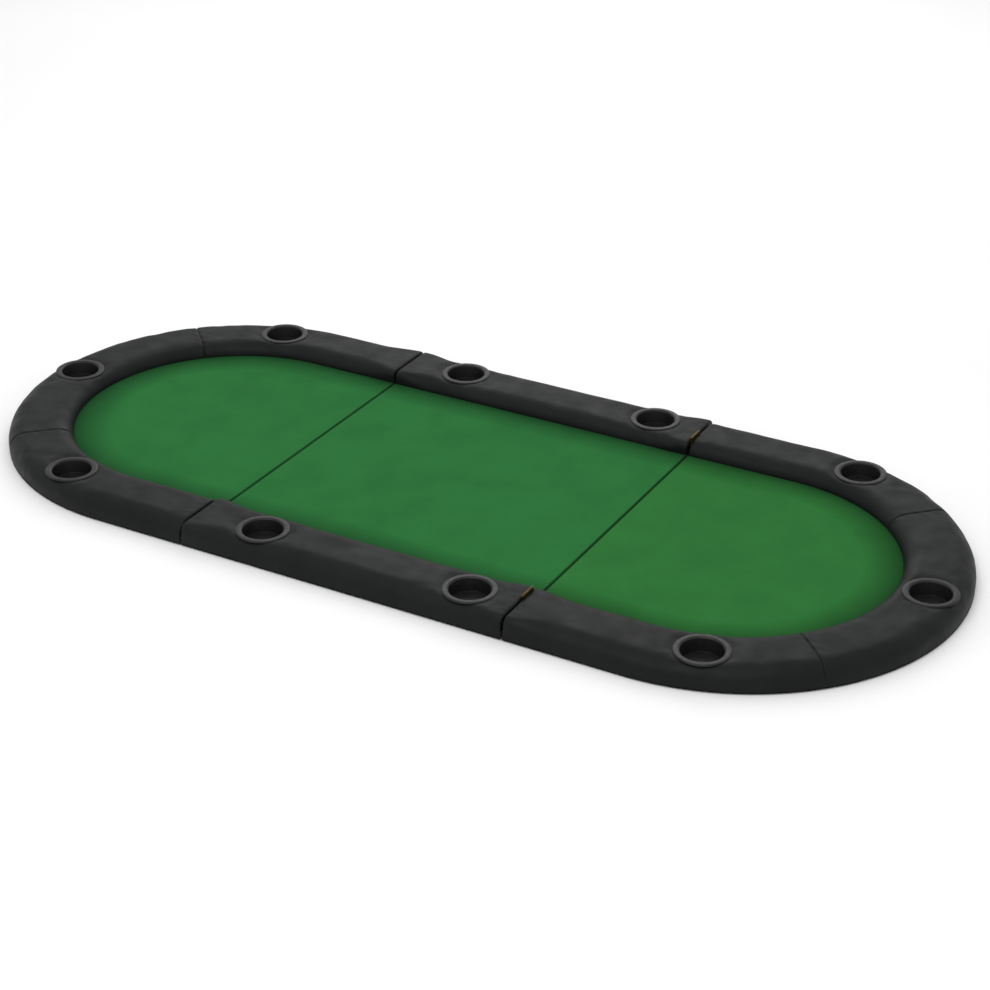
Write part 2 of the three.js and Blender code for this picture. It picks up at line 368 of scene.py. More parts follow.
@dataclass(frozen=True)
class Metal:
    """Brushed or plated metal."""

    name: str
    dark: tuple[float, float, float]
    light: tuple[float, float, float]
    rough_low: float = 0.25
    rough_high: float = 0.42

    def make(self) -> bpy.types.Material:
        """Returns the metal material."""
        kit = Recipe(self.name)
        colour = kit.tint(kit.cloud(140.0, 4.0), [(0.3, self.dark), (0.7, self.light)])
        lines = kit.cloud(300.0, 3.0, 0.6, kit.stretched((6.0, 0.6, 6.0)))
        rough = kit.span(lines, 0.3, 0.7, self.rough_low, self.rough_high)
        scratch = kit.relief(lines, 0.15, 0.0002)
        kit.set(Metallic=1.0)
        return kit.finish(colour, rough, scratch)


@dataclass(frozen=True)
class Board:
    """Wood panel, speckled like fibreboard or streaked like plywood."""

    name: str
    dark: tuple[float, float, float]
    light: tuple[float, float, float]
    stretch: tuple[float, float, float] = (1.0, 1.0, 1.0)
    grain: float = 260.0

    def make(self) -> bpy.types.Material:
        """Returns the panel material."""
        kit = Recipe(self.name)
        streaks = kit.cloud(self.grain, 6.0, 0.65, kit.stretched(self.stretch))
        colour = kit.tint(streaks, [(0.3, self.dark), (0.7, self.light)])
        rough = kit.span(kit.cloud(60.0, 3.0), 0.3, 0.7, 0.68, 0.85)
        tooth = kit.relief(streaks, 0.2, 0.0003)
        return kit.finish(colour, rough, tooth)


@dataclass(frozen=True)
class Foam:
    """Open-cell foam."""

    name: str = "foam_sheet"

    def make(self) -> bpy.types.Material:
        """Returns the foam material."""
        kit = Recipe(self.name)
        pits = kit.cells(900.0, 0.2)
        colour = kit.tint(pits, [(0.1, (0.5, 0.46, 0.34)), (0.6, (0.66, 0.62, 0.48))])
        rough = kit.span(kit.cloud(50.0), 0.3, 0.7, 0.9, 1.0)
        return kit.finish(colour, rough, kit.relief(pits, 0.5, 0.0006))


@dataclass(frozen=True)
class Studio:
    """Pale floor paint."""

    name: str = "studio_floor"

    def make(self) -> bpy.types.Material:
        """Returns the floor material."""
        kit = Recipe(self.name)
        colour = kit.tint(kit.cloud(1.5, 2.0), [(0.3, (0.86, 0.86, 0.86)), (0.7, (0.88, 0.88, 0.88))])
        rough = kit.span(kit.cloud(4.0), 0.3, 0.7, 0.75, 0.85)
        return kit.finish(colour, rough, kit.relief(kit.cloud(40.0), 0.02, 0.0005))


@dataclass
class Finishes:
    """Every material of the table, made once."""

    leather: bpy.types.Material
    felt: dict[Section, bpy.types.Material]
    cup: bpy.types.Material
    brass: bpy.types.Material
    steel: bpy.types.Material
    board: bpy.types.Material
    timber: bpy.types.Material
    foam: bpy.types.Material

    @classmethod
    def mixed(cls) -> "Finishes":
        """Returns the full set of materials."""
        return cls(
            leather=Leather().make(),
            felt={
                Section.CENTRE: Felt("green_felt_centre").make(),
                Section.LEFT: Felt("green_felt_left").make(),
                # painted light: the right felt is a slightly brighter, yellower lit copy of the same green
                # felt
                Section.RIGHT: Felt(
                    "green_felt_right", deep=(0.015, 0.108, 0.021), pale=(0.027, 0.165, 0.035)
                ).make(),
            },
            cup=CupPlastic().make(),
            brass=Metal("aged_brass", (0.06, 0.04, 0.015), (0.16, 0.105, 0.04), 0.4, 0.6).make(),
            steel=Metal("plated_steel", (0.40, 0.41, 0.42), (0.60, 0.61, 0.62)).make(),
            board=Board("fibreboard", (0.16, 0.095, 0.045), (0.30, 0.19, 0.10)).make(),
            timber=Board(
                "plywood", (0.34, 0.20, 0.09), (0.52, 0.34, 0.17), (0.15, 1.0, 1.0), 120.0
            ).make(),
            foam=Foam().make(),
        )


# ---------------------------------------------------------------- shared mesh work


def finished_piece(
    name: str, shape: bmesh.types.BMesh, material: bpy.types.Material, sharp: float = 40.0
) -> bpy.types.Object:
    """Turns a bmesh into a shown object with smooth shading.

    Args:
        name: the piece's name.
        shape: the bmesh, which is freed.
        material: its finish.
        sharp: the angle in degrees past which an edge stays crisp.

    Returns:
        The object.
    """
    mesh = bpy.data.meshes.new(name)
    shape.to_mesh(mesh)
    shape.free()
    obj = bpy.data.objects.new(name, mesh)
    bpy.context.scene.collection.objects.link(obj)
    dress(obj, material, sharp)
    return obj


def dress(obj: bpy.types.Object, material: bpy.types.Material, sharp: float = 40.0) -> None:
    """Gives a new piece its material and shading.

    Args:
        obj: the piece.
        material: its finish.
        sharp: crease angle in degrees.
    """
    obj.data.materials.clear()
    obj.data.materials.append(material)
    obj.data.shade_smooth()
    obj.data.set_sharp_from_angle(angle=math.radians(sharp))


def bake_modifiers(obj: bpy.types.Object) -> None:
    """Replaces an object's mesh with what its modifiers make of it.

    Args:
        obj: the piece.
    """
    bpy.context.view_layer.update()
    graph = bpy.context.evaluated_depsgraph_get()
    mesh = bpy.data.meshes.new_from_object(obj.evaluated_get(graph), depsgraph=graph)
    old = obj.data
    obj.modifiers.clear()
    obj.data = mesh
    mesh.name = obj.name
    bpy.data.meshes.remove(old)


def eased(
    shape: bmesh.types.BMesh,
    edges: list[bmesh.types.BMEdge],
    offset: float,
    segments: int,
    clamp: bool = False,
) -> None:
    """Rounds some edges of a mesh.

    Args:
        shape: the mesh.
        edges: the edges to round.
        offset: how far back the rounding starts.
        segments: how many steps it takes.
        clamp: whether neighbouring roundings stop where they meet.
    """
    bmesh.ops.bevel(
        shape,
        geom=edges,
        offset=offset,
        offset_type="OFFSET",
        segments=segments,
        profile=0.5,
        affect="EDGES",
        material=-1,
        clamp_overlap=clamp,
    )


def half_turned(obj: bpy.types.Object) -> None:
    """Turns a piece's mesh half a turn about the table's upright axis.

    Args:
        obj: the piece.
    """
    obj.data.transform(Matrix.Rotation(math.pi, 4, "Z"))


def smooth_step(value: float) -> float:
    """Returns a soft 0 to 1 ramp of a value clamped to 0 to 1."""
    clamped = min(max(value, 0.0), 1.0)
    return clamped * clamped * (3.0 - 2.0 * clamped)


def middle(node: str) -> Vector:
    """Returns the middle of a CAD node's box."""
    low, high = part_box(node)
    return (Vector(low) + Vector(high)) / 2


def cut_across(shape: bmesh.types.BMesh, point: Vector, normal: Vector) -> None:
    """Adds a loop of edges where a plane crosses a mesh.

    Args:
        shape: the mesh.
        point: a point on the plane.
        normal: the plane's normal.
    """
    geometry = shape.verts[:] + shape.edges[:] + shape.faces[:]
    bmesh.ops.bisect_plane(shape, geom=geometry, dist=1e-5, plane_co=point, plane_no=normal)


# ---------------------------------------------------------------- padded rails


@dataclass
class PaddedRail:
    """One padded, leather-covered rail: a straight run or a round end.

    It is built as if on the +X half for a round end, and turned half a turn for the left one.
    """

    name: str
    section: Section
    wrap: Wrap
    cover: str
    pad: str
    cups: tuple[str, ...]
    width: float = 134 * MM
    base: float = 16.2 * MM
    skirt_bottom: float = 3.9 * MM
    skirt_thick: float = 1.5 * MM
    shoulder_drop: float = 3.0 * MM
    outer_round: float = 33 * MM
    inner_round: float = 29 * MM
    end_outer_round: float = 15 * MM
    end_inner_round: float = 12 * MM
    end_blend: float = 90 * MM
    end_drop: float = 1.2 * MM
    seat_drop: float = 5.9 * MM
    end_round: float = 5 * MM
    grid: float = 10.5 * MM
    top_points: int = 25
    seat_radius: float = 52.5 * MM
    seat_slope: float = 10 * MM
    hole_radius: float = 41.6 * MM
    hole_floor: float = 17.6 * MM
    inward_limit: float = 0.4 * MM
    cloth_frames: int = 20
    swell_limit: float = 1.3 * MM
    swell_room: float = 2.9 * MM
    seam_angles: tuple[float, ...] = (-45.0, 45.0)
    seam_depth: float = 2.2 * MM

    def place(self) -> None:
        """Reads the rail's place from the CAD cover."""
        low, high = (Vector(c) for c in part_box(self.cover))
        self.top = high.z
        if self.wrap is Wrap.ROUND_END:
            self.radius = (high.y - low.y) / 2
            far_end = max(abs(low.x), abs(high.x))
            self.arc_x = far_end - self.radius
            self.start = min(abs(low.x), abs(high.x))
            self.flip = high.x < 0
        else:
            self.radius = max(abs(low.y), abs(high.y))
            self.flip = high.y > 0
            self.start = -high.x if self.flip else low.x
            self.finish = -low.x if self.flip else high.x
            self.arc_x = 0.0
        turn = -1.0 if self.flip else 1.0
        self.seats = [Vector((turn * middle(c).x, turn * middle(c).y, 0.0)) for c in self.cups]

    def rounded_top(self, depth: float, count: int) -> list[tuple[float, float]]:
        """Returns evenly spaced points over the top of the section, outside to inside.

        Args:
            depth: distance from the nearest cut end, where the corners are tighter.
            count: number of points.

        Returns:
            Pairs of distance from the long axis and height.
        """
        share = smooth_step(depth / self.end_blend)
        inner, outer = self.radius - self.width, self.radius
        high = self.top - self.swell_room - self.end_drop * (1.0 - share)
        big = self.end_outer_round + (self.outer_round - self.end_outer_round) * share
        small = self.end_inner_round + (self.inner_round - self.end_inner_round) * share
        crown = self.shoulder_drop * share
        outline = [(outer, self.base)]
        for middle_y, rounding, first in ((outer - big, big, 0.0), (inner + small, small, math.pi / 2)):
            for step in range(13):
                angle = first + math.pi / 2 * step / 12
                flat = (middle_y + rounding * math.cos(angle), high - rounding + rounding * math.sin(angle))
                outline.append(flat)
        outline.append((inner, self.base))
        mid, half = (inner + outer) / 2, self.width / 2
        domed = []
        for across, height in outline:
            lift = max(0.0, min((height - self.base) / (high - self.base), 1.0)) ** 3
            domed.append((across, height - crown * lift * ((across - mid) / half) ** 2))
        lengths = [0.0]
        for (y0, z0), (y1, z1) in zip(domed, domed[1:]):
            lengths.append(lengths[-1] + math.hypot(y1 - y0, z1 - z0))
        points, part = [], 0
        for index in range(count):
            want = lengths[-1] * index / (count - 1)
            while part < len(lengths) - 2 and lengths[part + 1] < want:
                part += 1
            reach = max(lengths[part + 1] - lengths[part], 1e-9)
            along = min(max((want - lengths[part]) / reach, 0.0), 1.0)
            (y0, z0), (y1, z1) = domed[part], domed[part + 1]
            points.append((y0 + (y1 - y0) * along, z0 + (z1 - z0) * along))
        return points

    def section_loop(self, shape: bmesh.types.BMesh, x: float) -> list[bmesh.types.BMEdge]:
        """Draws the rail's section as a closed loop on the near side.

        Args:
            shape: the mesh to draw in.
            x: the place of the loop along the table.

        Returns:
            The loop's edges.
        """
        inner, outer = self.radius - self.width, self.radius
        over = self.rounded_top(self.end_blend, self.top_points)
        floor = round((self.width - self.skirt_thick) / self.grid)
        bottom = [
            (inner + (outer - self.skirt_thick - inner) * step / floor, self.base)
            for step in range(1, floor + 1)
        ]
        skirt = [(outer - self.skirt_thick, self.skirt_bottom), (outer, self.skirt_bottom)]
        verts = [shape.verts.new((x, -y, z)) for y, z in over + bottom + skirt]
        return [shape.edges.new((verts[i - 1], verts[i])) for i in range(len(verts))]

    def shaped_ends(self, shape: bmesh.types.BMesh) -> None:
        """Eases the section from its round middle to its tighter cut ends.

        Args:
            shape: the swept rail, with its sections still the same all along.
        """
        table = {}
        full = self.rounded_top(self.end_blend, self.top_points)
        index = {(round(y, 6), round(z, 6)): number for number, (y, z) in enumerate(full)}
        for vert in shape.verts:
            number = index.get((round(abs(vert.co.y), 6), round(vert.co.z, 6)))
            depth = self.depth_from_end(vert.co)
            if number is None or depth >= self.end_blend or vert.co.x > self.arc_x > 0:
                continue
            key = round(depth, 5)
            if key not in table:
                table[key] = self.rounded_top(depth, self.top_points)
            across, height = table[key][number]
            vert.co.y = math.copysign(across, vert.co.y)
            vert.co.z = height

    @staticmethod
    def pushed(
        shape: bmesh.types.BMesh, loop: list[bmesh.types.BMEdge], move: Vector, steps: int
    ) -> list[bmesh.types.BMEdge]:
        """Extrudes a loop in equal steps.

        Args:
            shape: the mesh.
            loop: the loop's edges.
            move: the whole move.
            steps: how many steps it takes.

        Returns:
            The last loop's edges.
        """
        for _ in range(steps):
            made = bmesh.ops.extrude_edge_only(shape, edges=loop)["geom"]
            verts = [g for g in made if isinstance(g, bmesh.types.BMVert)]
            bmesh.ops.translate(shape, verts=verts, vec=move / steps)
            ring = set(verts)
            loop = [
                g
                for g in made
                if isinstance(g, bmesh.types.BMEdge) and g.verts[0] in ring and g.verts[1] in ring
            ]
        return loop

    def carried_round(
        self,
        shape: bmesh.types.BMesh,
        loop: list[bmesh.types.BMEdge],
        straight: int,
        turned: int,
    ) -> None:
        """Carries a loop along the near run, round the end and back along the far run.

        Args:
            shape: the mesh.
            loop: the loop's edges, at the near cut end.
            straight: steps on each straight run.
            turned: steps round the end.
        """
        run = Vector((self.arc_x - self.start, 0, 0))
        loop = self.pushed(shape, loop, run, straight)
        last = bmesh.ops.spin(
            shape,
            geom=loop,
            cent=(self.arc_x, 0, 0),
            axis=(0, 0, 1),
            angle=math.pi,
            steps=turned,
            use_duplicate=False,
            use_merge=False,
        )["geom_last"]
        loop = [g for g in last if isinstance(g, bmesh.types.BMEdge)]
        self.pushed(shape, loop, -run, straight)

    def swept(self) -> bmesh.types.BMesh:
        """Returns the open-ended rail swept along its path."""
        shape = bmesh.new()
        if self.wrap is Wrap.STRAIGHT:
            loop = self.section_loop(shape, self.start)
            run = self.finish - self.start
            self.pushed(shape, loop, Vector((run, 0, 0)), round(run / self.grid))
        else:
            loop = self.section_loop(shape, self.start)
            straight = round((self.arc_x - self.start) / self.grid)
            turned = round(math.pi * (self.radius - self.width / 2) / self.grid)
            self.carried_round(shape, loop, straight, turned)
        bmesh.ops.remove_doubles(shape, verts=shape.verts[:], dist=1e-6)
        self.shaped_ends(shape)
        bmesh.ops.recalc_face_normals(shape, faces=shape.faces[:])
        return shape

    def end_planes(self) -> list[tuple[Vector, Vector]]:
        """Returns a point and an inward direction for each cut end of the rail."""
        inward = Vector((1.0, 0.0, 0.0))
        if self.wrap is Wrap.STRAIGHT:
            return [(Vector((self.start, 0, 0)), inward), (Vector((self.finish, 0, 0)), -inward)]
        return [(Vector((self.start, 0, 0)), inward)]

    def depth_from_end(self, point: Vector) -> float:
        """Returns how far a point is from the nearest cut end."""
        return min((point - at).dot(inward) for at, inward in self.end_planes())

    def round_ends(self, shape: bmesh.types.BMesh) -> None:
        """Rolls the leather over the cut ends and closes them.

        Args:
            shape: the swept rail.
        """
        for at, inward in self.end_planes():
            for share in (0.08, 0.3, 0.65, 1.0):
                cut_across(shape, at + inward * self.end_round * share, inward)
        shape.normal_update()
        moves = {}
        for vert in shape.verts:
            depth = self.depth_from_end(vert.co)
            if depth >= self.end_round or vert.co.z < self.base + 1 * MM:
                continue
            left = self.end_round - max(depth, 0.0)
            inset = self.end_round - math.sqrt(max(self.end_round**2 - left**2, 0.0))
            normal = Vector((0.0, vert.normal.y, vert.normal.z)).normalized()
            moves[vert] = normal * -inset
        for vert, move in moves.items():
            vert.co += move
        rim = [edge for edge in shape.edges if edge.is_boundary]
        caps = bmesh.ops.edgeloop_fill(shape, edges=rim)["faces"]
        for cap in caps:
            inner = self.radius - self.skirt_thick
            corner = min(
                cap.verts, key=lambda v: abs(abs(v.co.y) - inner) + abs(v.co.z - self.base)
            )
            outside = min(
                cap.verts, key=lambda v: abs(abs(v.co.y) - self.radius) + abs(v.co.z - self.base)
            )
            if corner is not outside:
                bmesh.ops.connect_vert_pair(shape, verts=[corner, outside])
        bmesh.ops.recalc_face_normals(shape, faces=shape.faces[:])

    def seat_share(self, point: Vector) -> float:
        """Returns 1 under a cup flange, falling to 0 a little way outside it."""
        share = 0.0
        for seat in self.seats:
            reach = math.hypot(point.x - seat.x, point.y - seat.y)
            share = max(share, 1.0 - smooth_step((reach - self.seat_radius) / self.seat_slope))
        return share

    def press_seats(self, shape: bmesh.types.BMesh) -> None:
        """Flattens the leather where the cup flanges press on it.

        Args:
            shape: the rail.
        """
        for vert in shape.verts:
            seat = self.top - self.seat_drop
            if vert.co.z > seat:
                vert.co.z += self.seat_share(vert.co) * (seat - vert.co.z)

    def held_share(self, point: Vector) -> float:
        """Says how firmly the leather is held at a point.

        Args:
            point: a point of the rail.

        Returns:
            0 where it is free and 1 where it is fixed.
        """
        low = 1.0 - smooth_step((point.z - self.base - 2 * MM) / (7 * MM))
        seat = 1.0 if self.seat_share(point) > 0.9 and point.z > self.top - 16 * MM else 0.0
        end = 1.0 - smooth_step((self.depth_from_end(point) - self.end_round) / (10 * MM))
        return max(low, seat, end, self.seam_share(point, 2.5 * MM))

    def seam_share(self, point: Vector, reach: float) -> float:
        """Returns 1 on a sewn seam of a round end, falling to 0 at a reach from it."""
        if self.wrap is Wrap.STRAIGHT or point.x < self.arc_x:
            return 0.0
        share = 0.0
        for degrees in self.seam_angles:
            angle = math.radians(degrees)
            aside = abs(-(point.x - self.arc_x) * math.sin(angle) + point.y * math.cos(angle))
            along = (point.x - self.arc_x) * math.cos(angle) + point.y * math.sin(angle)
            if along > 0:
                share = max(share, 1.0 - smooth_step(aside / reach))
        return share

    def swell(self, obj: bpy.types.Object) -> None:
        """Inflates the cover a little over its foam with a short cloth run.

        The foam is firm, so each point may move only a little way, and hardly at all inwards.

        Args:
            obj: the rail, whose mesh is changed.
        """
        held = obj.vertex_groups.new(name="held")
        for vert in obj.data.vertices:
            held.add([vert.index], self.held_share(vert.co), "REPLACE")
        before = [(vert.co.copy(), vert.normal.copy()) for vert in obj.data.vertices]
        cloth = obj.modifiers.new("swell", "CLOTH")
        settings = cloth.settings
        settings.quality = 6
        settings.mass = 0.25
        settings.tension_stiffness = 18
        settings.compression_stiffness = 12
        settings.shear_stiffness = 8
        settings.bending_stiffness = 1.2
        settings.use_pressure = True
        settings.uniform_pressure_force = 4.0
        settings.shrink_min = -0.012
        settings.vertex_group_mass = "held"
        settings.effector_weights.gravity = 0
        cloth.collision_settings.use_collision = False
        cloth.point_cache.frame_start = 1
        cloth.point_cache.frame_end = self.cloth_frames
        for step in range(1, self.cloth_frames + 1):
            bpy.context.scene.frame_set(step)
        bake_modifiers(obj)
        bpy.context.scene.frame_set(1)
        obj.vertex_groups.clear()
        for vert, (start, normal) in zip(obj.data.vertices, before):
            move = vert.co - start
            sunk = move.dot(normal) + self.inward_limit
            if sunk < 0:
                move -= normal * sunk
            if move.length > self.swell_limit:
                move *= self.swell_limit / move.length
            vert.co = start + move

    def keep_inside(self, point: Vector) -> Vector:
        """Keeps a point clear of the neighbouring section and of the folded rail above.

        Args:
            point: a point of the rail.

        Returns:
            The point, moved if it has to be.
        """
        for at, inward in self.end_planes():
            over = (point - at).dot(inward)
            if over < 0:
                point = point - inward * over
        point.z = min(point.z, self.top + 0.1 * MM)
        return point

    def gathers(self, point: Vector) -> float:
        """Height of the small gathers and dents of the leather at a point.

        Args:
            point: a point of the rail.

        Returns:
            Metres along the surface's normal.
        """
        depth = max(self.depth_from_end(point), 0.0)
        across = abs(point.y)
        wave = math.sin(across * 2 * math.pi / (19 * MM) + 8 * noise.noise(point * 13))
        end = 0.3 * MM * math.exp(-depth / (16 * MM)) * wave * smooth_step(depth / (4 * MM))
        drift = 0.5 * MM * noise.noise(point * 11.0) + 0.22 * MM * noise.noise(point * 31.0)
        seam = 0.4 * MM * self.seam_share(point, 26 * MM)
        ripple = math.sin(across * 2 * math.pi / (21 * MM) + point.x * 31)
        return end + drift * (1.0 - self.seat_share(point)) + seam * ripple

    def groove(self, shape: bmesh.types.BMesh) -> None:
        """Sinks the sewn seams of a round end and lays the gathers on the leather.

        Args:
            shape: the finely divided rail.
        """
        if self.wrap is Wrap.ROUND_END:
            for degrees in self.seam_angles:
                angle = math.radians(degrees)
                normal = Vector((-math.sin(angle), math.cos(angle), 0))
                for aside in (-3.2, -1.3, 0.0, 1.3, 3.2):
                    at = Vector((self.arc_x, 0, 0)) + normal * aside * MM
                    outward = Vector((math.cos(angle), math.sin(angle), 0))
                    near = [f for f in shape.faces if (f.calc_center_median() - at).dot(outward) > 0]
                    rims = {e for f in near for e in f.edges}
                    dots = {v for f in near for v in f.verts}
                    bmesh.ops.bisect_plane(
                        shape, geom=[*dots, *rims, *near], dist=1e-5, plane_co=at, plane_no=normal
                    )
        shape.normal_update()
        moves = []
        for vert in shape.verts:
            if vert.co.z < self.base + 1 * MM:
                continue
            rise = smooth_step((vert.co.z - self.base - 1 * MM) / (6 * MM))
            sink = self.seam_depth * self.seam_share(vert.co, 3.2 * MM)
            moves.append((vert, vert.normal * rise * (self.gathers(vert.co) - sink)))
        for vert, move in moves:
            vert.co = self.keep_inside(vert.co + move)

    def bore(self, obj: bpy.types.Object) -> None:
        """Cuts the pockets the cup holders sit in.

        Args:
            obj: the rail, whose mesh is changed.
        """
        cutters = bmesh.new()
        height = self.top + 0.03 - self.hole_floor
        for seat in self.seats:
            at = Matrix.Translation((seat.x, seat.y, self.hole_floor + height / 2))
            bmesh.ops.create_cone(
                cutters,
                cap_ends=True,
                segments=64,
                radius1=self.hole_radius,
                radius2=self.hole_radius,
                depth=height,
                matrix=at,
            )
        mesh = bpy.data.meshes.new("cutters")
        cutters.to_mesh(mesh)
        cutters.free()
        tool = bpy.data.objects.new("cutters", mesh)
        bpy.context.scene.collection.objects.link(tool)
        cut = obj.modifiers.new("bore", "BOOLEAN")
        cut.operation = "DIFFERENCE"
        cut.solver = "EXACT"
        cut.object = tool
        bake_modifiers(obj)
        bpy.data.objects.remove(tool)
        bpy.data.meshes.remove(mesh)

    def build(self, leather: bpy.types.Material) -> bpy.types.Object:
        """Args:
            leather: the cover's finish.

        Returns:
            The rail.
        """
        self.place()
        shape = self.swept()
        self.round_ends(shape)
        self.press_seats(shape)
        obj = finished_piece(self.name, shape, leather)
        self.swell(obj)
        finer = obj.modifiers.new("finer", "SUBSURF")
        finer.levels = finer.render_levels = 1
        bake_modifiers(obj)
        fine = bmesh.new()
        fine.from_mesh(obj.data)
        self.groove(fine)
        fine.to_mesh(obj.data)
        fine.free()
        self.bore(obj)
        if self.flip:
            half_turned(obj)
        dress(obj, leather, 38.0)
        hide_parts(self.cover, self.pad)
        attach(obj, self.section.value)
        log.info("%s: %d faces", obj.name, len(obj.data.polygons))
        return obj


@dataclass
class EndFlap:
    """The leather turned down over the outer corner of the board at a cut end."""

    rail: PaddedRail
    thick: float = 0.5 * MM
    gap: float = 0.05 * MM
    low: float = 4.0 * MM
    high: float = 16.1 * MM
    reach: float = 74 * MM
    edge_round: float = 0.18 * MM

    def build(self, leather: bpy.types.Material) -> None:
        """Args:
            leather: their finish.
        """
        shape = bmesh.new()
        rail = self.rail
        outer = rail.radius - rail.skirt_thick - 0.1 * MM
        sides = (-1,) if rail.wrap is Wrap.STRAIGHT else (-1, 1)
        for at, inward in rail.end_planes():
            for side in sides:
                x = at.x - inward.x * (self.gap + self.thick / 2)
                spot = (x, side * (outer - self.reach / 2), (self.low + self.high) / 2)
                size = Matrix.Diagonal((self.thick, self.reach, self.high - self.low, 1))
                bmesh.ops.create_cube(shape, size=1.0, matrix=Matrix.Translation(spot) @ size)
        eased(shape, shape.edges[:], self.edge_round, 2)
        obj = finished_piece(f"{rail.name}_end_flaps", shape, leather)
        if rail.flip:
            half_turned(obj)
        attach(obj, rail.section.value)
        log.info("%s: %d faces", obj.name, len(obj.data.polygons))


@dataclass
class CoverHem:
    """The leather's edge, turned under the base board and stapled."""

    rail: PaddedRail
    width: float = 26 * MM
    high: float = 3.95 * MM
    low: float = 3.05 * MM
    staple_gap: float = 42 * MM
    straight_steps: int = 8
    turn_steps: int = 96
    staple: tuple[float, float, float] = (1.2 * MM, 10.5 * MM, 0.6 * MM)
    staple_round: float = 0.15 * MM

    def band(self) -> bmesh.types.BMesh:
        """Returns the flat band under the edge."""
        shape = bmesh.new()
        rail = self.rail
        outer, inner = rail.radius - 0.2 * MM, rail.radius - self.width
        corners = [(inner, self.high), (outer, self.high), (outer, self.low), (inner, self.low)]
        verts = [shape.verts.new((rail.start, -y, z)) for y, z in corners]
        loop = [shape.edges.new((verts[i], verts[(i + 1) % 4])) for i in range(4)]
        if rail.wrap is Wrap.STRAIGHT:
            run = Vector((rail.finish - rail.start, 0, 0))
            rail.pushed(shape, loop, run, 3 * self.straight_steps)
        else:
            rail.carried_round(shape, loop, self.straight_steps, self.turn_steps)
        bmesh.ops.edgeloop_fill(shape, edges=[e for e in shape.edges if e.is_boundary])
        bmesh.ops.remove_doubles(shape, verts=shape.verts[:], dist=1e-6)
        bmesh.ops.recalc_face_normals(shape, faces=shape.faces[:])
        for vert in shape.verts:
            if math.hypot(max(vert.co.x - rail.arc_x, 0), vert.co.y) < inner + 1 * MM:
                vert.co.y *= 1 + 0.003 * noise.noise(vert.co * 30)
        return shape

    def staple_places(self) -> list[Matrix]:
        """Returns the place and turn of each staple."""
        rail = self.rail
        radius = rail.radius - self.width * 0.55
        places = []
        if rail.wrap is Wrap.STRAIGHT:
            length = rail.finish - rail.start
            count = int(length / self.staple_gap)
            for index in range(count):
                x = rail.start + (index + 0.5) * length / count
                places.append(Matrix.Translation((x, -radius, 0)))
            return places
        straight = rail.arc_x - rail.start
        count = int(straight / self.staple_gap)
        for side in (-1, 1):
            for index in range(count):
                x = rail.start + (index + 0.5) * straight / count
                places.append(Matrix.Translation((x, side * radius, 0)))
        turns = int(math.pi * radius / self.staple_gap)
        for index in range(turns):
            angle = -math.pi / 2 + (index + 0.5) * math.pi / turns
            at = (rail.arc_x + radius * math.cos(angle), radius * math.sin(angle), 0)
            places.append(Matrix.Translation(at) @ Matrix.Rotation(angle + math.pi / 2, 4, "Z"))
        return places

    def staples(self) -> bmesh.types.BMesh:
        """Returns all the staples of the hem."""
        shape = bmesh.new()
        across, along, thick = self.staple
        for number, place in enumerate(self.staple_places()):
            skew = Matrix.Rotation(math.radians(90 + 14 * math.sin(number * 2.3)), 4, "Z")
            lift = Matrix.Translation((0, 0, self.low - thick / 2 + 0.1 * MM))
            size = Matrix.Diagonal((across, along, thick, 1))
            bmesh.ops.create_cube(shape, size=1.0, matrix=place @ lift @ skew @ size)
        eased(shape, shape.edges[:], self.staple_round, 1)
        return shape

    def build(self, leather: bpy.types.Material, steel: bpy.types.Material) -> None:
        """Args:
            leather: the hem's finish.
            steel: the staples' finish.
        """
        pairs = (("hem", self.band(), leather, "leather"), ("staples", self.staples(), steel, "steel"))
        for word, shape, material, slot in pairs:
            obj = finished_piece(f"{self.rail.name}_{word}", shape, material)
            if self.rail.flip:
                half_turned(obj)
            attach(obj, self.rail.section.value)
            log.info("%s: %d faces", obj.name, len(obj.data.polygons))


# ---------------------------------------------------------------- felt


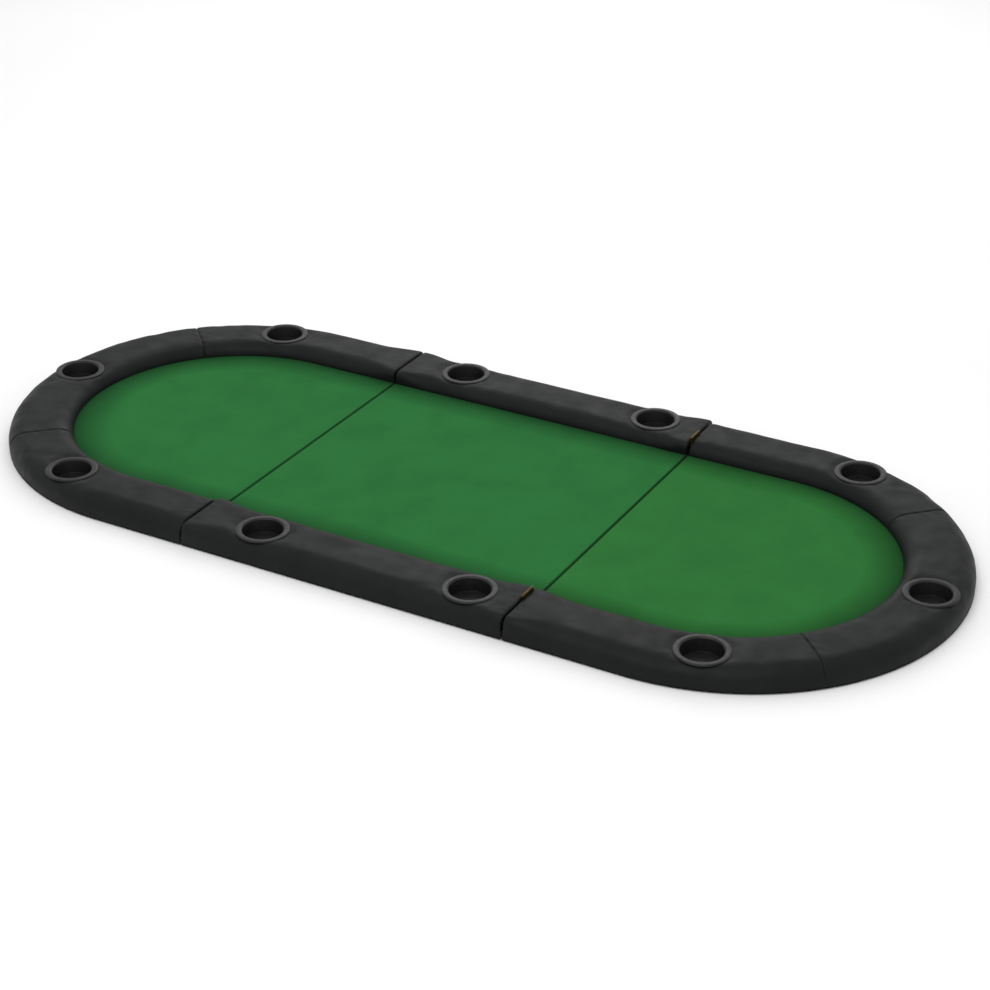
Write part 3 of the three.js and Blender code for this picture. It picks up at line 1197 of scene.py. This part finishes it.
@dataclass
class PlayingFelt:
    """The felt of one section, stretched over its underlay and down the seam edges."""

    name: str
    section: Section
    node: str
    underlay: str
    thick: float = 0.9 * MM
    tuck: float = 1.0 * MM
    overlap: float = 1.0 * MM
    turn_down: float = 7.5 * MM
    edge_round: float = 3.0 * MM

    def plan(self) -> bmesh.types.BMesh:
        """Returns the flat plan of the felt, at its top height."""
        low, high = (Vector(c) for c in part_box(self.node))
        self.top = high.z
        half = (high.y - low.y) / 2 + self.tuck
        shape = bmesh.new()
        if self.section is Section.CENTRE:
            self.seams = (low.x - self.overlap, high.x + self.overlap)
            self.half = half
            self.arc = 0.0
            size = Matrix.Diagonal(((self.seams[1] - self.seams[0]) / 2, half, 1, 1))
            at = Matrix.Translation((sum(self.seams) / 2, 0, self.top))
            bmesh.ops.create_grid(shape, x_segments=34, y_segments=32, size=1.0, matrix=at @ size)
            return shape
        far = max(abs(low.x), abs(high.x)) + self.tuck
        self.start = min(abs(low.x), abs(high.x)) - self.overlap
        self.seams = (self.start,)
        self.half = half
        self.arc = far - half
        at = Matrix.Translation((self.arc, 0, self.top))
        bmesh.ops.create_circle(shape, cap_ends=True, segments=128, radius=half, matrix=at)
        geometry = shape.verts[:] + shape.edges[:] + shape.faces[:]
        bmesh.ops.bisect_plane(
            shape,
            geom=geometry,
            dist=1e-5,
            plane_co=(self.arc, 0, 0),
            plane_no=(1, 0, 0),
            clear_inner=True,
        )
        side = [e for e in shape.edges if all(abs(v.co.x - self.arc) < 1e-5 for v in e.verts)]
        made = bmesh.ops.extrude_edge_only(shape, edges=side)["geom"]
        verts = [g for g in made if isinstance(g, bmesh.types.BMVert)]
        bmesh.ops.translate(shape, verts=verts, vec=(self.start - self.arc, 0, 0))
        for step in range(1, 12):
            x = self.start + (self.arc + half - self.start) * step / 12
            cut_across(shape, Vector((x, 0, 0)), Vector((1, 0, 0)))
        for step in range(-7, 8):
            cut_across(shape, Vector((0, half * step / 8, 0)), Vector((0, 1, 0)))
        return shape

    def on_seam(self, edge: bmesh.types.BMEdge) -> bool:
        """Returns whether an edge lies along a seam between sections."""
        return edge.is_boundary and any(
            all(abs(v.co.x - seam) < 1e-5 for v in edge.verts) for seam in self.seams
        )

    def cloth(self) -> bmesh.types.BMesh:
        """Returns the felt with its seam edges turned down."""
        shape = self.plan()
        rims = [e for e in shape.edges if self.on_seam(e)]
        made = bmesh.ops.extrude_edge_only(shape, edges=rims)["geom"]
        verts = [g for g in made if isinstance(g, bmesh.types.BMVert)]
        bmesh.ops.translate(shape, verts=verts, vec=(0, 0, -self.turn_down))
        bmesh.ops.recalc_face_normals(shape, faces=shape.faces[:])
        if sum(f.normal.z * f.calc_area() for f in shape.faces) < 0:
            bmesh.ops.reverse_faces(shape, faces=shape.faces[:])
        eased(shape, [e for e in rims if e.is_valid], self.edge_round, 4)
        return shape

    def build(self, felt: bpy.types.Material) -> bpy.types.Object:
        """Args:
            felt: its finish.

        Returns:
            The felt.
        """
        shape = self.cloth()
        area = sum(face.calc_area() for face in shape.faces)
        obj = finished_piece(self.name, shape, felt)
        body = obj.modifiers.new("body", "SOLIDIFY")
        body.thickness = self.thick
        body.offset = -1.0
        bake_modifiers(obj)
        if self.section is Section.LEFT:
            half_turned(obj)
        dress(obj, felt)
        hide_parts(self.node)
        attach(obj, self.section.value)
        return obj


# ---------------------------------------------------------------- cup holders


@dataclass
class CupHolder:
    """A drop-in cup holder with a broad flange, a tapering wall and a flat floor."""

    node: str
    section: Section
    wall: float = 2.0 * MM
    flange_press: float = 0.75 * MM
    taper: float = 3.0 * MM
    mouth: float = 39.3 * MM
    rim_round: float = 0.7 * MM
    steps: int = 72

    def profile(self) -> list[tuple[float, float]]:
        """Returns the turned section from the axis below to the axis above."""
        low, high = (Vector(c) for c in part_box(self.node))
        flange = (high.x - low.x) / 2
        top, bottom = high.z, low.z
        floor = bottom + self.wall
        under = top - 2.8 * MM - self.flange_press
        outside = self.mouth + self.wall
        return [
            (0.0, bottom),
            (outside - self.taper, bottom),
            (outside, under),
            (flange, under),
            (flange, top - 1.3 * MM),
            (flange - 2.6 * MM, top - 0.15 * MM),
            (self.mouth + 3.2 * MM, top),
            (self.mouth, top - 2.2 * MM),
            (self.mouth - self.taper, floor),
            (9.0 * MM, floor),
            (8.0 * MM, floor + 0.35 * MM),
            (0.0, floor + 0.35 * MM),
        ]

    def build(self, plastic: bpy.types.Material) -> bpy.types.Object:
        """Args:
            plastic: its finish.

        Returns:
            The cup holder.
        """
        shape = bmesh.new()
        verts = [shape.verts.new((radius, 0, z)) for radius, z in self.profile()]
        line = [shape.edges.new(pair) for pair in zip(verts, verts[1:])]
        bmesh.ops.spin(
            shape,
            geom=verts + line,
            cent=(0, 0, 0),
            axis=(0, 0, 1),
            angle=math.tau,
            steps=self.steps,
            use_merge=True,
            use_duplicate=False,
        )
        bmesh.ops.remove_doubles(shape, verts=shape.verts[:], dist=1e-6)
        bmesh.ops.recalc_face_normals(shape, faces=shape.faces[:])
        rims = [e for e in shape.edges if len(e.link_faces) == 2 and e.calc_face_angle() > 0.3]
        eased(shape, rims, self.rim_round, 3, clamp=True)
        at = middle(self.node)
        bmesh.ops.translate(shape, verts=shape.verts[:], vec=(at.x, at.y, 0))
        obj = finished_piece(f"{self.node}_holder", shape, plastic, 50.0)
        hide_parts(self.node)
        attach(obj, self.section.value)
        log.info("%s: %d faces", obj.name, len(obj.data.polygons))
        return obj


# ---------------------------------------------------------------- CAD nodes that stay


def dress_hardware(finishes: Finishes) -> None:
    """Gives the CAD nodes that stay in view their materials.

    Args:
        finishes: the material set.
    """
    kinds: dict[str, bpy.types.Material] = {
        "_base_board": finishes.board,
        "_underlay": finishes.foam,
        "_rail_frame": finishes.timber,
        "_leaf": finishes.brass,
        "_pin": finishes.brass,
        "_screw_": finishes.steel,
    }
    for name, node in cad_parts.items():
        for word, material in kinds.items():
            if word in name:
                node.data.materials.clear()
                node.data.materials.append(material)
                log.info("%s: %s", name, material.name)


# ---------------------------------------------------------------- studio


@dataclass
class PhotoStudio:
    """Floor, lights and camera."""

    lens: float = 80.8
    tilt: float = -1.0778547
    turn: float = -0.5120068
    roll: float = 0.0026361
    offset: tuple[float, float, float] = (-0.058145, 0.010380, -4.432853)
    aim_height: float = 4.1 * MM

    def floor(self) -> None:
        """Lays the pale floor."""
        shape = bmesh.new()
        bmesh.ops.create_grid(shape, x_segments=2, y_segments=2, size=14.0)
        floor = finished_piece("floor", shape, Studio().make())

    def light(self, name: str, spot: Vector, size: float, power: float) -> None:
        """Hangs one soft box.

        Args:
            name: the light's name.
            spot: where it hangs; it faces the table's middle.
            size: its side in metres.
            power: its power in watts.
        """
        lamp = bpy.data.lights.new(name, "AREA")
        lamp.size = size
        lamp.energy = power
        obj = bpy.data.objects.new(name, lamp)
        obj.location = spot
        obj.rotation_mode = "QUATERNION"
        obj.rotation_quaternion = (-spot).to_track_quat("-Z", "Y")
        bpy.context.scene.collection.objects.link(obj)

    def lights(self) -> None:
        """Sets the soft surround and the soft boxes."""
        world = bpy.data.worlds.new("surround")
        world.use_nodes = True
        shade = world.node_tree.nodes["Background"]
        shade.inputs["Color"].default_value = (1.0, 1.0, 1.0, 1.0)
        shade.inputs["Strength"].default_value = 0.9
        bpy.context.scene.world = world
        self.light("key", Vector((0.4, -2.4, 3.6)), 2.6, 52.0)
        self.light("back", Vector((-1.4, 3.2, 2.6)), 2.4, 30.0)

    def camera(self) -> None:
        """Sets the camera."""
        lens = bpy.data.cameras.new("camera")
        lens.sensor_width = 36.0
        lens.lens = self.lens
        lens.clip_start, lens.clip_end = 0.1, 100.0
        obj = bpy.data.objects.new("camera", lens)
        bpy.context.scene.collection.objects.link(obj)
        roll = Matrix.Rotation(self.roll, 4, "Y")
        view = roll @ Matrix.Rotation(self.tilt, 4, "X") @ Matrix.Rotation(self.turn, 4, "Z")
        eye = Matrix.Translation(self.offset) @ view @ Matrix.Translation((0, 0, -self.aim_height))
        obj.matrix_world = eye.inverted()
        bpy.context.scene.camera = obj

    def build(self) -> None:
        """Sets up the whole studio."""
        self.floor()
        self.lights()
        self.camera()
        bpy.context.scene.view_settings.view_transform = "Standard"


# ---------------------------------------------------------------- assembly


def rails() -> list[PaddedRail]:
    """Returns the four rails of the table."""
    found = []
    for side in ("near", "far"):
        stem = f"centre_{side}"
        found.append(
            PaddedRail(
                name=f"{stem}_rail",
                section=Section.CENTRE,
                wrap=Wrap.STRAIGHT,
                cover=f"{stem}_rail_cover",
                pad=f"{stem}_rail_pad",
                cups=(f"{stem}_cup_1", f"{stem}_cup_2"),
            )
        )
    for stem, section in (("left", Section.LEFT), ("right", Section.RIGHT)):
        found.append(
            PaddedRail(
                name=f"{stem}_rail",
                section=section,
                wrap=Wrap.ROUND_END,
                cover=f"{stem}_rail_cover",
                pad=f"{stem}_rail_pad",
                cups=tuple(f"{stem}_cup_{number}" for number in (1, 2, 3)),
            )
        )
    return found


def main() -> None:
    """Builds the table top in order."""
    logging.basicConfig(level=logging.INFO, format="%(name)s: %(message)s")
    finishes = Finishes.mixed()
    for rail in rails():
        rail.build(finishes.leather)
        CoverHem(rail).build(finishes.leather, finishes.steel)
        EndFlap(rail).build(finishes.leather)
        for cup in rail.cups:
            CupHolder(cup, rail.section).build(finishes.cup)
    for stem, section in (("centre", Section.CENTRE), ("left", Section.LEFT), ("right", Section.RIGHT)):
        felt = PlayingFelt(f"{stem}_playing_felt", section, f"{stem}_felt", f"{stem}_underlay")
        felt.build(finishes.felt[section])
    dress_hardware(finishes)
    PhotoStudio().build()


if __name__ == "__main__":
    main()
